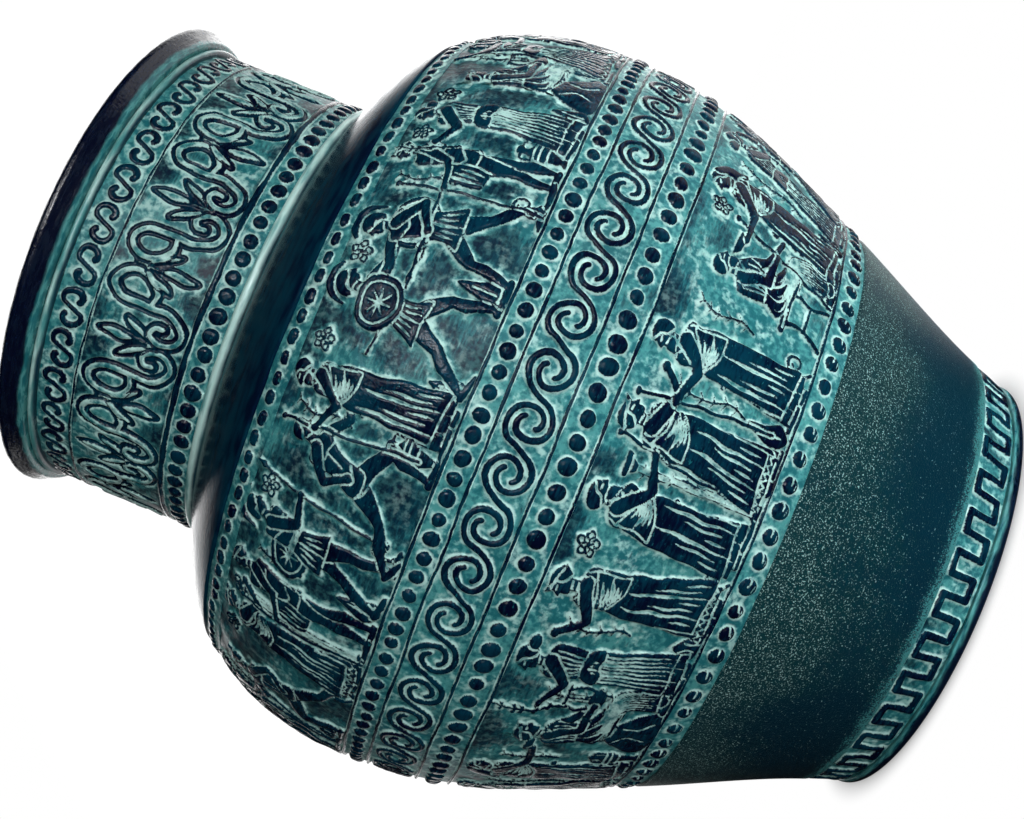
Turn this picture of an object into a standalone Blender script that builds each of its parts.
"""Relief pithos: a ceramic jar of luted wall courses with moulded relief strips applied on them.

Metres, +Z up, standing on the XY plane with its axis on Z. Every piece is turned about that axis, and the
figure friezes and the vine are lofted round it, with the main outlines of their relief raised.
"""

import math

import bpy

# Height of the jar, and the share of it that each zone takes, from the table up
JAR_HEIGHT = 0.2800
FOOT_HEIGHT_SHARE = 0.0121
MEANDER_HEIGHT_SHARE = 0.0400
PLAIN_WALL_HEIGHT_SHARE = 0.1704
BASE_BEADS_HEIGHT_SHARE = 0.0254
LOWER_FRIEZE_HEIGHT_SHARE = 0.1682
LOWER_BELLY_BEADS_HEIGHT_SHARE = 0.0307
SPIRAL_HEIGHT_SHARE = 0.0586
UPPER_BELLY_BEADS_HEIGHT_SHARE = 0.0232
UPPER_FRIEZE_HEIGHT_SHARE = 0.1632
SHOULDER_BEADS_HEIGHT_SHARE = 0.0218
COVE_HEIGHT_SHARE = 0.0625
RIDGE_HEIGHT_SHARE = 0.0125
NECK_BEADS_HEIGHT_SHARE = 0.0254
VINE_HEIGHT_SHARE = 0.1100
SCROLL_HEIGHT_SHARE = 0.0368
FILLET_HEIGHT_SHARE = 0.0082
LIP_HEIGHT_SHARE = 0.0311

# Outline radius at the foot, the belly and the neck, and how far the lip stands out from the neck
FOOT_RADIUS = 0.0678
BELLY_RADIUS = 0.1185
NECK_RADIUS = 0.0730
LIP_OVERHANG = 0.0051

# Share of the belly's swell that each zone's top has: over the foot below the belly, over the neck above it
MEANDER_TOP_SHARE = 0.079
PLAIN_WALL_TOP_SHARE = 0.509
BASE_BEADS_TOP_SHARE = 0.570
LOWER_FRIEZE_TOP_SHARE = 0.929
LOWER_BELLY_BEADS_TOP_SHARE = 0.967
SPIRAL_TOP_SHARE = 0.996
UPPER_FRIEZE_TOP_SHARE = 0.741
SHOULDER_BEADS_TOP_SHARE = 0.651

# Walls, strips and what stands out from them
BAND_THICKNESS = 0.0020
WALL_THICKNESS = 0.0060
FLOOR_THICKNESS = 0.0070
CORD_HEIGHT = 0.0012
VINE_GROUND_HEIGHT = 0.0022
RIDGE_PROUD = 0.0012
FILLET_PROUD = 0.0010
COVE_PROUD = 0.0022
LIP_UNDERCUT = 0.0024
LIP_CREST_DROP = 0.0032
FOOT_WIDTH = 0.0120
FOOT_EDGE_ROUND = 0.0022

# Raised relief: depth of its ground under the outline, and how far its edges slope
RELIEF_DEPTH = 0.0010
RELIEF_BEVEL = 0.0004

# Joints: the slip gap between luted pieces, and how far their steps reach into each other
SLIP_GAP = 0.0003
LAP = 0.0040
SPIGOT_DEPTH = 0.0060
SPIGOT_STEP = 0.0020
FLOOR_STEP = 0.0020

# Facets round the axis, straight pieces along a curved zone or an arc, and how near the axis points join
TURN_STEPS = 40
FRIEZE_SEGMENTS = 6
COURSE_SEGMENTS = 4
COVE_SEGMENTS = 4
BAND_SEGMENTS = 2
ARC_SEGMENTS = 4
AXIS_MERGE = 0.00001

# Outlines of raised figures that face right, from feet to crown:
# share of the strip's height, then back and front edge as shares of the figure's room
ROBED_SHARES = [
    (0.02, -0.36, 0.38),
    (0.27, -0.30, 0.32),
    (0.50, -0.26, 0.28),
    (0.62, -0.22, 0.24),
    (0.80, -0.30, 0.40),
    (0.85, -0.10, 0.12),
    (0.92, -0.17, 0.16),
    (0.98, -0.12, 0.10),
]
STANDING_SHARES = [
    (0.02, -0.30, 0.34),
    (0.27, -0.24, 0.26),
    (0.50, -0.24, 0.24),
    (0.62, -0.22, 0.24),
    (0.80, -0.28, 0.34),
    (0.85, -0.10, 0.10),
    (0.92, -0.16, 0.15),
    (0.98, -0.10, 0.08),
]
STRIDING_SHARES = [
    (0.02, -0.46, 0.46),
    (0.27, -0.28, 0.30),
    (0.46, -0.20, 0.22),
    (0.62, -0.12, 0.16),
    (0.78, -0.22, 0.36),
    (0.84, -0.08, 0.10),
    (0.91, -0.16, 0.13),
    (0.98, -0.12, 0.08),
]
RUNNING_SHARES = [
    (0.02, -0.44, 0.20),
    (0.24, -0.30, 0.34),
    (0.42, -0.24, 0.22),
    (0.53, -0.14, 0.16),
    (0.68, -0.16, 0.30),
    (0.73, 0.02, 0.18),
    (0.79, 0.00, 0.26),
    (0.85, 0.04, 0.20),
]
KNEELING_SHARES = [
    (0.02, -0.40, 0.36),
    (0.22, -0.34, 0.36),
    (0.30, -0.24, 0.20),
    (0.42, -0.18, 0.12),
    (0.57, -0.26, 0.44),
    (0.62, -0.12, 0.06),
    (0.69, -0.18, 0.10),
    (0.76, -0.14, 0.06),
]
SEATED_SHARES = [
    (0.02, -0.40, 0.42),
    (0.27, -0.38, 0.42),
    (0.36, -0.38, 0.34),
    (0.46, -0.34, 0.04),
    (0.58, -0.36, 0.06),
    (0.62, -0.24, -0.08),
    (0.68, -0.30, -0.02),
    (0.74, -0.24, -0.06),
]
# A leg of the vine: its curl at the foot, its stem, and its loop at the top on the other side
VINE_LEG_SHARES = [
    (0.03, 0.14, 0.40),
    (0.12, 0.00, 0.46),
    (0.30, -0.06, 0.45),
    (0.38, -0.07, 0.30),
    (0.46, -0.20, 0.07),
    (0.54, -0.41, 0.07),
    (0.72, -0.45, 0.06),
    (0.90, -0.30, -0.02),
]

# Who stands in half of each frieze, from its start on: outline, room, facing. Both halves are alike
RIGHT, LEFT = 1, -1
UPPER_FIGURES = [
    (STRIDING_SHARES, 24, RIGHT),
    (STRIDING_SHARES, 24, LEFT),
    (STANDING_SHARES, 16, LEFT),
    (ROBED_SHARES, 17, LEFT),
    (SEATED_SHARES, 22, RIGHT),
    (ROBED_SHARES, 20, LEFT),
    (ROBED_SHARES, 17, LEFT),
    (STANDING_SHARES, 17, RIGHT),
    (KNEELING_SHARES, 25, LEFT),
    (ROBED_SHARES, 17, RIGHT),
    (STANDING_SHARES, 16, RIGHT),
    (STANDING_SHARES, 18, RIGHT),
    (RUNNING_SHARES, 25, LEFT),
    (ROBED_SHARES, 17, RIGHT),
    (STANDING_SHARES, 16, LEFT),
    (STANDING_SHARES, 18, RIGHT),
    (RUNNING_SHARES, 24, RIGHT),
    (ROBED_SHARES, 17, LEFT),
]
LOWER_FIGURES = [
    (ROBED_SHARES, 22, RIGHT),
    (ROBED_SHARES, 22, LEFT),
    (SEATED_SHARES, 30, RIGHT),
    (ROBED_SHARES, 22, LEFT),
    (ROBED_SHARES, 22, RIGHT),
    (ROBED_SHARES, 25, RIGHT),
    (ROBED_SHARES, 22, RIGHT),
    (SEATED_SHARES, 30, LEFT),
    (ROBED_SHARES, 22, LEFT),
    (ROBED_SHARES, 22, RIGHT),
    (SEATED_SHARES, 30, RIGHT),
    (ROBED_SHARES, 22, LEFT),
    (ROBED_SHARES, 21, LEFT),
    (ROBED_SHARES, 21, RIGHT),
]
FRIEZES = {"upper_figure_frieze": UPPER_FIGURES * 2, "lower_figure_frieze": LOWER_FIGURES * 2}
VINE_PAIRS = 11
VINE = [(VINE_LEG_SHARES, 1, LEFT), (VINE_LEG_SHARES, 1, RIGHT)] * VINE_PAIRS

# Finishes: colour, roughness, metallic
FINISHES = {
    "dark_glaze": ((0.010, 0.020, 0.032, 1.0), 0.22, 0.0),
    "shoulder_glaze": ((0.012, 0.060, 0.075, 1.0), 0.30, 0.0),
    "relief_glaze": ((0.120, 0.300, 0.290, 1.0), 0.38, 0.0),
    "speckled_glaze": ((0.020, 0.090, 0.095, 1.0), 0.45, 0.0),
    "pale_glaze": ((0.260, 0.480, 0.450, 1.0), 0.35, 0.0),
    "clay_body": ((0.330, 0.130, 0.070, 1.0), 0.85, 0.0),
}


def stacked(start, heights):
    """The level at the start and at the top of each height piled on it."""
    found = [start]
    for height in heights:
        found.append(found[-1] + height)
    return found


# Levels of the zones, from the foot's top to the neck's foot and from there to the lip's top
BODY_HEIGHT_SHARES = [
    MEANDER_HEIGHT_SHARE,
    PLAIN_WALL_HEIGHT_SHARE,
    BASE_BEADS_HEIGHT_SHARE,
    LOWER_FRIEZE_HEIGHT_SHARE,
    LOWER_BELLY_BEADS_HEIGHT_SHARE,
    SPIRAL_HEIGHT_SHARE,
    UPPER_BELLY_BEADS_HEIGHT_SHARE,
    UPPER_FRIEZE_HEIGHT_SHARE,
    SHOULDER_BEADS_HEIGHT_SHARE,
    COVE_HEIGHT_SHARE,
]
NECK_HEIGHT_SHARES = [
    RIDGE_HEIGHT_SHARE,
    NECK_BEADS_HEIGHT_SHARE,
    VINE_HEIGHT_SHARE,
    SCROLL_HEIGHT_SHARE,
    FILLET_HEIGHT_SHARE,
    LIP_HEIGHT_SHARE,
]
ZONE_UNIT = JAR_HEIGHT / (FOOT_HEIGHT_SHARE + sum(BODY_HEIGHT_SHARES) + sum(NECK_HEIGHT_SHARES))
BODY_LEVELS = stacked(ZONE_UNIT * FOOT_HEIGHT_SHARE, [ZONE_UNIT * share for share in BODY_HEIGHT_SHARES])
LOWER_SHARES = [
    0.0,
    MEANDER_TOP_SHARE,
    PLAIN_WALL_TOP_SHARE,
    BASE_BEADS_TOP_SHARE,
    LOWER_FRIEZE_TOP_SHARE,
    LOWER_BELLY_BEADS_TOP_SHARE,
    SPIRAL_TOP_SHARE,
    1.0,
]
UPPER_SHARES = [UPPER_FRIEZE_TOP_SHARE, SHOULDER_BEADS_TOP_SHARE]
BODY_RADII = [
    *[FOOT_RADIUS + share * (BELLY_RADIUS - FOOT_RADIUS) for share in LOWER_SHARES],
    *[NECK_RADIUS + share * (BELLY_RADIUS - NECK_RADIUS) for share in UPPER_SHARES],
    NECK_RADIUS + COVE_PROUD,
]
(
    FOOT_TOP,
    MEANDER_TOP,
    PLAIN_WALL_TOP,
    BASE_BEADS_TOP,
    LOWER_FRIEZE_TOP,
    LOWER_BELLY_BEADS_TOP,
    SPIRAL_TOP,
    UPPER_BELLY_BEADS_TOP,
    UPPER_FRIEZE_TOP,
    SHOULDER_BEADS_TOP,
    NECK_BASE,
) = BODY_LEVELS
NECK_LEVELS = stacked(NECK_BASE, [ZONE_UNIT * share for share in NECK_HEIGHT_SHARES])
_, RIDGE_TOP, NECK_BEADS_TOP, VINE_TOP, SCROLL_TOP, FILLET_TOP, LIP_TOP = NECK_LEVELS

# Depths below the outline of the wall's seat for the strips and of its inside
SEAT_DEPTH = BAND_THICKNESS + SLIP_GAP
INSIDE_DEPTH = SEAT_DEPTH + WALL_THICKNESS
LAP_DEPTH = SEAT_DEPTH + WALL_THICKNESS / 2

# Seats of the lowest course and of the neck, and the reach of the lip
FLOOR_TOP = FOOT_TOP + FLOOR_THICKNESS
LIP_RADIUS = NECK_RADIUS + LIP_OVERHANG
SOCKET_RADIUS = NECK_RADIUS - SEAT_DEPTH - SPIGOT_STEP

# Seams between the wall courses, each hidden under a strip
LOWER_SEAM = (PLAIN_WALL_TOP + BASE_BEADS_TOP) / 2
BELLY_SEAM = (LOWER_BELLY_BEADS_TOP + SPIRAL_TOP) / 2
SHOULDER_SEAM = (UPPER_FRIEZE_TOP + SHOULDER_BEADS_TOP) / 2

# Strips on the body, from the base up: name, lower edge, upper edge, finish, pieces along its section
LOWER_GROUND = BASE_BEADS_TOP + CORD_HEIGHT
LOWER_HEAD = LOWER_FRIEZE_TOP - CORD_HEIGHT
SPIRAL_LOW = LOWER_BELLY_BEADS_TOP + CORD_HEIGHT
SPIRAL_HIGH = SPIRAL_TOP - CORD_HEIGHT
UPPER_GROUND = UPPER_BELLY_BEADS_TOP + CORD_HEIGHT
BODY_STRIPS = [
    ("meander_band", FOOT_TOP, MEANDER_TOP, "relief_glaze", BAND_SEGMENTS),
    ("base_bead_row", PLAIN_WALL_TOP, BASE_BEADS_TOP, "relief_glaze", BAND_SEGMENTS),
    ("lower_ground_cord", BASE_BEADS_TOP, LOWER_GROUND, "dark_glaze", 1),
    ("lower_figure_frieze", LOWER_GROUND, LOWER_HEAD, "relief_glaze", FRIEZE_SEGMENTS),
    ("lower_frieze_top_cord", LOWER_HEAD, LOWER_FRIEZE_TOP, "dark_glaze", 1),
    ("lower_belly_bead_row", LOWER_FRIEZE_TOP, LOWER_BELLY_BEADS_TOP, "relief_glaze", BAND_SEGMENTS),
    ("spiral_lower_cord", LOWER_BELLY_BEADS_TOP, SPIRAL_LOW, "dark_glaze", 1),
    ("spiral_band", SPIRAL_LOW, SPIRAL_HIGH, "relief_glaze", BAND_SEGMENTS),
    ("spiral_upper_cord", SPIRAL_HIGH, SPIRAL_TOP, "dark_glaze", 1),
    ("upper_belly_bead_row", SPIRAL_TOP, UPPER_BELLY_BEADS_TOP, "relief_glaze", BAND_SEGMENTS),
    ("upper_ground_cord", UPPER_BELLY_BEADS_TOP, UPPER_GROUND, "dark_glaze", 1),
    ("upper_figure_frieze", UPPER_GROUND, UPPER_FRIEZE_TOP, "relief_glaze", FRIEZE_SEGMENTS),
    ("shoulder_bead_row", UPPER_FRIEZE_TOP, SHOULDER_BEADS_TOP, "relief_glaze", BAND_SEGMENTS),
]


def body_slopes():
    """Slope of the outline at each body level, from a parabola through it and its neighbours."""
    runs = [b - a for a, b in zip(BODY_LEVELS, BODY_LEVELS[1:])]
    rises = [(b - a) / run for a, b, run in zip(BODY_RADII, BODY_RADII[1:], runs)]
    inner = []
    for i in range(1, len(runs)):
        weighted = runs[i - 1] * rises[i] + runs[i] * rises[i - 1]
        inner.append(weighted / (runs[i - 1] + runs[i]))
    first = 2 * rises[0] - inner[0]
    last = 2 * rises[-1] - inner[-1]
    return [first, *inner, last]


BODY_SLOPES = body_slopes()


def outline(level):
    """Radius and slope of the body's outline, a smooth cubic through the zones' radii."""
    last = len(BODY_LEVELS) - 2
    i = max(k for k in range(last + 1) if k == 0 or BODY_LEVELS[k] <= level)
    run = BODY_LEVELS[i + 1] - BODY_LEVELS[i]
    t = (level - BODY_LEVELS[i]) / run
    low, high = BODY_RADII[i], BODY_RADII[i + 1]
    lean_low, lean_high = BODY_SLOPES[i] * run, BODY_SLOPES[i + 1] * run
    bend = low - high
    radius = low + t * lean_low
    radius += t**2 * (-3 * bend - 2 * lean_low - lean_high)
    radius += t**3 * (2 * bend + lean_low + lean_high)
    slope = lean_low
    slope += 2 * t * (-3 * bend - 2 * lean_low - lean_high)
    slope += 3 * t**2 * (2 * bend + lean_low + lean_high)
    return radius, slope / run


def body_point(level, depth):
    """The point that lies at a depth straight under the body's outline."""
    radius, slope = outline(level)
    length = math.hypot(1, slope)
    return radius - depth / length, level + depth * slope / length


def neck_point(level, depth):
    """The point at a depth under the neck's upright outline."""
    return NECK_RADIUS - depth, level


def spread(low, high, segments):
    """Evenly spaced levels from low to high."""
    return [low + (high - low) * i / segments for i in range(segments + 1)]


def arc(centre, across, up, start, end):
    """Points on an arc with its own half widths, by angle in degrees from straight out."""
    found = []
    for angle in spread(math.radians(start), math.radians(end), ARC_SEGMENTS):
        found.append((centre[0] + across * math.cos(angle), centre[1] + up * math.sin(angle)))
    return found


def finish(name):
    """The material of that name."""
    if name in bpy.data.materials:
        return bpy.data.materials[name]
    colour, roughness, metallic = FINISHES[name]
    material = bpy.data.materials.new(name)
    material.use_nodes = True
    shader = material.node_tree.nodes["Principled BSDF"]
    shader.inputs["Base Color"].default_value = colour
    shader.inputs["Roughness"].default_value = roughness
    shader.inputs["Metallic"].default_value = metallic
    material.diffuse_color = colour
    return material


def turned(name, points, finish_name, ring=True):
    """A piece turned about Z from its section, which runs down its outer side first."""
    mesh = bpy.data.meshes.new(name)
    edges = [(i, i + 1) for i in range(len(points) - 1)]
    if ring:
        edges.append((len(points) - 1, 0))
    mesh.from_pydata([(radius, 0, level) for radius, level in points], edges, [])
    mesh.materials.append(finish(finish_name))
    piece = bpy.data.objects.new(name, mesh)
    jar.objects.link(piece)
    turn = piece.modifiers.new("turn", "SCREW")
    turn.axis = "Z"
    turn.angle = math.tau
    turn.steps = TURN_STEPS
    turn.render_steps = TURN_STEPS
    turn.use_smooth_shade = False
    turn.use_merge_vertices = not ring
    turn.merge_threshold = AXIS_MERGE
    return piece


def band(name, low, high, finish_name, segments=1, point=body_point, proud=0.0):
    """A relief strip between two levels, with half a slip gap left at each edge."""
    levels = spread(low + SLIP_GAP / 2, high - SLIP_GAP / 2, segments)
    outer = [point(level, -proud) for level in reversed(levels)]
    inner = [point(level, BAND_THICKNESS) for level in levels]
    return turned(name, outer + inner, finish_name)


def corners(level, depth):
    """The corners of a turned ring, from the jar's back on: angle, level, depth."""
    back = math.tau / 4
    return [(angle, level, depth) for angle in spread(back, back + math.tau, TURN_STEPS)[:-1]]


def figure_rows(low, high, figures, point):
    """Rings over raised figures, from the feet to just over the crowns, four corners to a figure."""
    rows = [[] for _ in range(len(figures[0][0]) + 1)]
    unit = math.tau / sum(room for _, room, _ in figures)
    slope = RELIEF_BEVEL / point((low + high) / 2, 0)[0]
    start = math.tau / 4
    for outline_rows, room, facing in figures:
        middle = start + room * unit / 2
        start += room * unit
        levels = [(low + share * (high - low), 0) for share, _, _ in outline_rows]
        levels.append((levels[-1][0] + RELIEF_BEVEL, RELIEF_DEPTH))
        edges = [*outline_rows, outline_rows[-1]]
        for row, (level, top), (_, back, front) in zip(rows, levels, edges):
            left, right = sorted(middle + facing * edge * room * unit for edge in (back, front))
            row += [(left - slope, level, RELIEF_DEPTH), (left, level, top)]
            row += [(right, level, top), (right + slope, level, RELIEF_DEPTH)]
    return rows


def sewn(first, last):
    """Triangles between two rings: column by column where their counts match, else as the angles come."""
    i = j = 0
    found = []
    ends = []
    for ring in (first, last):
        ends.append([angle for angle, _, _ in ring[1:]] + [ring[0][0] + math.tau, math.inf])
    while i < len(first) or j < len(last):
        if len(first) == len(last):
            forward = i <= j
        else:
            forward = ends[0][i] <= ends[1][j]
        if forward:
            found.append(((0, i), (0, i + 1), (1, j)))
            i += 1
        else:
            found.append(((0, i), (1, j + 1), (1, j)))
            j += 1
    return found


def raised(name, low, high, finish_name, segments, figures, point=body_point):
    """A relief strip with raised figures, lofted from ring to ring up its face and down its back."""
    foot, head = low + SLIP_GAP / 2, high - SLIP_GAP / 2
    rings = [corners(foot, RELIEF_DEPTH)]
    rings += figure_rows(foot, head, figures, point)
    rings.append(corners(head, RELIEF_DEPTH))
    rings += [corners(level, BAND_THICKNESS) for level in reversed(spread(foot, head, segments))]
    facet = math.tau / TURN_STEPS
    points, faces = [], []
    for ring in rings:
        for angle, level, depth in ring:
            radius, height = point(level, depth)
            reach = radius * math.cos(facet / 2) / math.cos(angle % facet - facet / 2)
            points.append((reach * math.cos(angle), reach * math.sin(angle), height))
    starts = stacked(0, [len(ring) for ring in rings])[:-1]
    for k, ring in enumerate(rings):
        after = (k + 1) % len(rings)
        pair = ((starts[k], len(ring)), (starts[after], len(rings[after])))
        for triangle in sewn(ring, rings[after]):
            faces.append([pair[side][0] + number % pair[side][1] for side, number in triangle])
    mesh = bpy.data.meshes.new(name)
    mesh.from_pydata(points, [], faces)
    mesh.materials.append(finish(finish_name))
    jar.objects.link(bpy.data.objects.new(name, mesh))


def lap_foot(seam):
    """A course's lower edge on a seam, from outside in: its outer half reaches lower."""
    edge = seam + SLIP_GAP / 2
    return [
        body_point(edge, SEAT_DEPTH),
        body_point(edge, LAP_DEPTH - SLIP_GAP / 2),
        body_point(edge + LAP, LAP_DEPTH - SLIP_GAP / 2),
        body_point(edge + LAP, INSIDE_DEPTH),
    ]


def lap_head(seam):
    """A course's upper edge on a seam, from inside out: its inner half reaches higher."""
    edge = seam - SLIP_GAP / 2
    return [
        body_point(edge + LAP, INSIDE_DEPTH),
        body_point(edge + LAP, LAP_DEPTH + SLIP_GAP / 2),
        body_point(edge, LAP_DEPTH + SLIP_GAP / 2),
        body_point(edge, SEAT_DEPTH),
    ]


def between(low, high, segments, depth):
    """Points at a depth inside a stretch of the body, from low to high, without its ends."""
    return [body_point(level, depth) for level in spread(low, high, segments)[1:-1]]


def seats(low, high):
    """Points of a course's seat inside a stretch of the body, at the levels where its strips bend."""
    levels = []
    for _, strip_low, strip_high, _, segments in BODY_STRIPS:
        levels += spread(strip_low, strip_high, segments)[1:]
    return [body_point(level, SEAT_DEPTH) for level in levels if low + SLIP_GAP < level < high - SLIP_GAP]


def make_foot():
    """The ring that the jar stands on, with its lower outer edge rounded."""
    corner = (FOOT_RADIUS - FOOT_EDGE_ROUND, FOOT_EDGE_ROUND)
    top = FOOT_TOP - SLIP_GAP / 2
    points = [(FOOT_RADIUS, top)]
    points += arc(corner, FOOT_EDGE_ROUND, FOOT_EDGE_ROUND, 0, -90)
    points += [(FOOT_RADIUS - FOOT_WIDTH, 0), (FOOT_RADIUS - FOOT_WIDTH, top)]
    turned("foot_ring", points, "dark_glaze")


def make_floor():
    """The floor disc on the foot ring, with a step that centres the lowest course."""
    floor_bottom = FOOT_TOP + SLIP_GAP / 2
    low_edge = body_point(floor_bottom, SEAT_DEPTH)[0]
    high_edge = body_point(FLOOR_TOP, SEAT_DEPTH)[0]
    step = body_point(FLOOR_TOP, INSIDE_DEPTH)[0] - SLIP_GAP
    points = [
        (0, FLOOR_TOP + FLOOR_STEP),
        (step, FLOOR_TOP + FLOOR_STEP),
        (step, FLOOR_TOP),
        (high_edge, FLOOR_TOP),
        *reversed(seats(floor_bottom, FLOOR_TOP)),
        (low_edge, floor_bottom),
        (0, floor_bottom),
    ]
    turned("base_floor", points, "clay_body", ring=False)


def make_lower_wall():
    """The first course: it stands on the floor, and is plain outside between two strips."""
    foot = FLOOR_TOP + SLIP_GAP
    points = [
        body_point(PLAIN_WALL_TOP, SEAT_DEPTH),
        body_point(PLAIN_WALL_TOP, 0),
        *reversed(between(MEANDER_TOP, PLAIN_WALL_TOP, BAND_SEGMENTS, 0)),
        body_point(MEANDER_TOP, 0),
        body_point(MEANDER_TOP, SEAT_DEPTH),
        *reversed(seats(foot, MEANDER_TOP)),
        (body_point(foot, SEAT_DEPTH)[0], foot),
        (body_point(foot, INSIDE_DEPTH)[0], foot),
        *between(foot, LOWER_SEAM, BAND_SEGMENTS, INSIDE_DEPTH),
        *lap_head(LOWER_SEAM),
    ]
    turned("lower_wall", points, "speckled_glaze")


def make_course(name, low_seam, high_seam):
    """A course that lies wholly under strips, lapped on the courses below and above it."""
    points = [
        *reversed(seats(low_seam, high_seam)),
        *lap_foot(low_seam),
        *between(low_seam + LAP, high_seam + LAP, COURSE_SEGMENTS, INSIDE_DEPTH),
        *lap_head(high_seam),
    ]
    turned(name, points, "clay_body")


def make_cove():
    """The smooth shoulder, ending in a socket for the neck's spigot."""
    inside = [
        point
        for point in between(SHOULDER_SEAM + LAP, NECK_BASE, COVE_SEGMENTS, INSIDE_DEPTH)
        if point[0] > SOCKET_RADIUS + SLIP_GAP
    ]
    points = [
        body_point(NECK_BASE, 0),
        *reversed(between(SHOULDER_BEADS_TOP, NECK_BASE, COVE_SEGMENTS, 0)),
        body_point(SHOULDER_BEADS_TOP, 0),
        body_point(SHOULDER_BEADS_TOP, SEAT_DEPTH),
        *lap_foot(SHOULDER_SEAM),
        *inside,
        (SOCKET_RADIUS, inside[-1][1]),
        (SOCKET_RADIUS, NECK_BASE),
    ]
    turned("shoulder_cove", points, "shoulder_glaze")


def make_neck():
    """The collar, with a spigot in the shoulder's socket and an inner lap for the lip."""
    seat = NECK_BASE + SLIP_GAP
    spigot = NECK_BASE - SPIGOT_DEPTH
    head = FILLET_TOP - SLIP_GAP / 2
    spigot_radius = SOCKET_RADIUS - SLIP_GAP
    points = [
        neck_point(head, SEAT_DEPTH),
        neck_point(seat, SEAT_DEPTH),
        (spigot_radius, seat),
        (spigot_radius, spigot),
        neck_point(spigot, INSIDE_DEPTH),
        neck_point(head + LAP, INSIDE_DEPTH),
        neck_point(head + LAP, LAP_DEPTH + SLIP_GAP / 2),
        neck_point(head, LAP_DEPTH + SLIP_GAP / 2),
    ]
    turned("neck_wall", points, "clay_body")


def make_lip():
    """The flaring lip: leaning underside, round nose and crest, with a lap over the neck."""
    foot = FILLET_TOP + SLIP_GAP / 2
    nose = LIP_TOP - LIP_CREST_DROP
    crest = (NECK_RADIUS + LIP_RADIUS) / 2 - BAND_THICKNESS
    mouth = NECK_RADIUS - INSIDE_DEPTH
    lap = LAP_DEPTH - SLIP_GAP / 2
    inner_edge = (mouth + crest) / 2
    points = [
        *reversed(arc((crest, nose), LIP_RADIUS - crest, LIP_CREST_DROP, 0, 90)),
        (LIP_RADIUS - LIP_UNDERCUT, foot),
        neck_point(foot, lap),
        neck_point(foot + LAP, lap),
        neck_point(foot + LAP, INSIDE_DEPTH),
        (mouth, nose),
        (inner_edge, LIP_TOP),
    ]
    turned("rim_lip", points, "dark_glaze")


def make_body_bands():
    """Strips on the body, from the base up."""
    for name, low, high, finish_name, segments in BODY_STRIPS:
        if name in FRIEZES:
            raised(name, low, high, finish_name, segments, FRIEZES[name])
        else:
            band(name, low, high, finish_name, segments)


def make_neck_bands():
    """Rings and strips on the neck, from its foot up."""
    neck = {"point": neck_point}
    vine_ground = NECK_BEADS_TOP + VINE_GROUND_HEIGHT
    vine_high = VINE_TOP - CORD_HEIGHT
    band("neck_ridge", NECK_BASE + SLIP_GAP, RIDGE_TOP, "pale_glaze", proud=RIDGE_PROUD, **neck)
    band("neck_bead_row", RIDGE_TOP, NECK_BEADS_TOP, "relief_glaze", **neck)
    band("vine_ground_cord", NECK_BEADS_TOP, vine_ground, "dark_glaze", **neck)
    raised("vine_band", vine_ground, vine_high, "relief_glaze", 1, VINE, **neck)
    band("scroll_cord", vine_high, VINE_TOP, "dark_glaze", **neck)
    band("scroll_band", VINE_TOP, SCROLL_TOP, "relief_glaze", **neck)
    band("rim_fillet", SCROLL_TOP, FILLET_TOP, "pale_glaze", proud=FILLET_PROUD, **neck)


# Build
for old in list(bpy.data.objects):
    bpy.data.objects.remove(old)
jar = bpy.data.collections.new("relief_pithos")
bpy.context.scene.collection.children.link(jar)
make_foot()
make_floor()
make_lower_wall()
make_course("belly_wall", LOWER_SEAM, BELLY_SEAM)
make_course("shoulder_wall", BELLY_SEAM, SHOULDER_SEAM)
make_cove()
make_neck()
make_lip()
make_body_bands()
make_neck_bands()
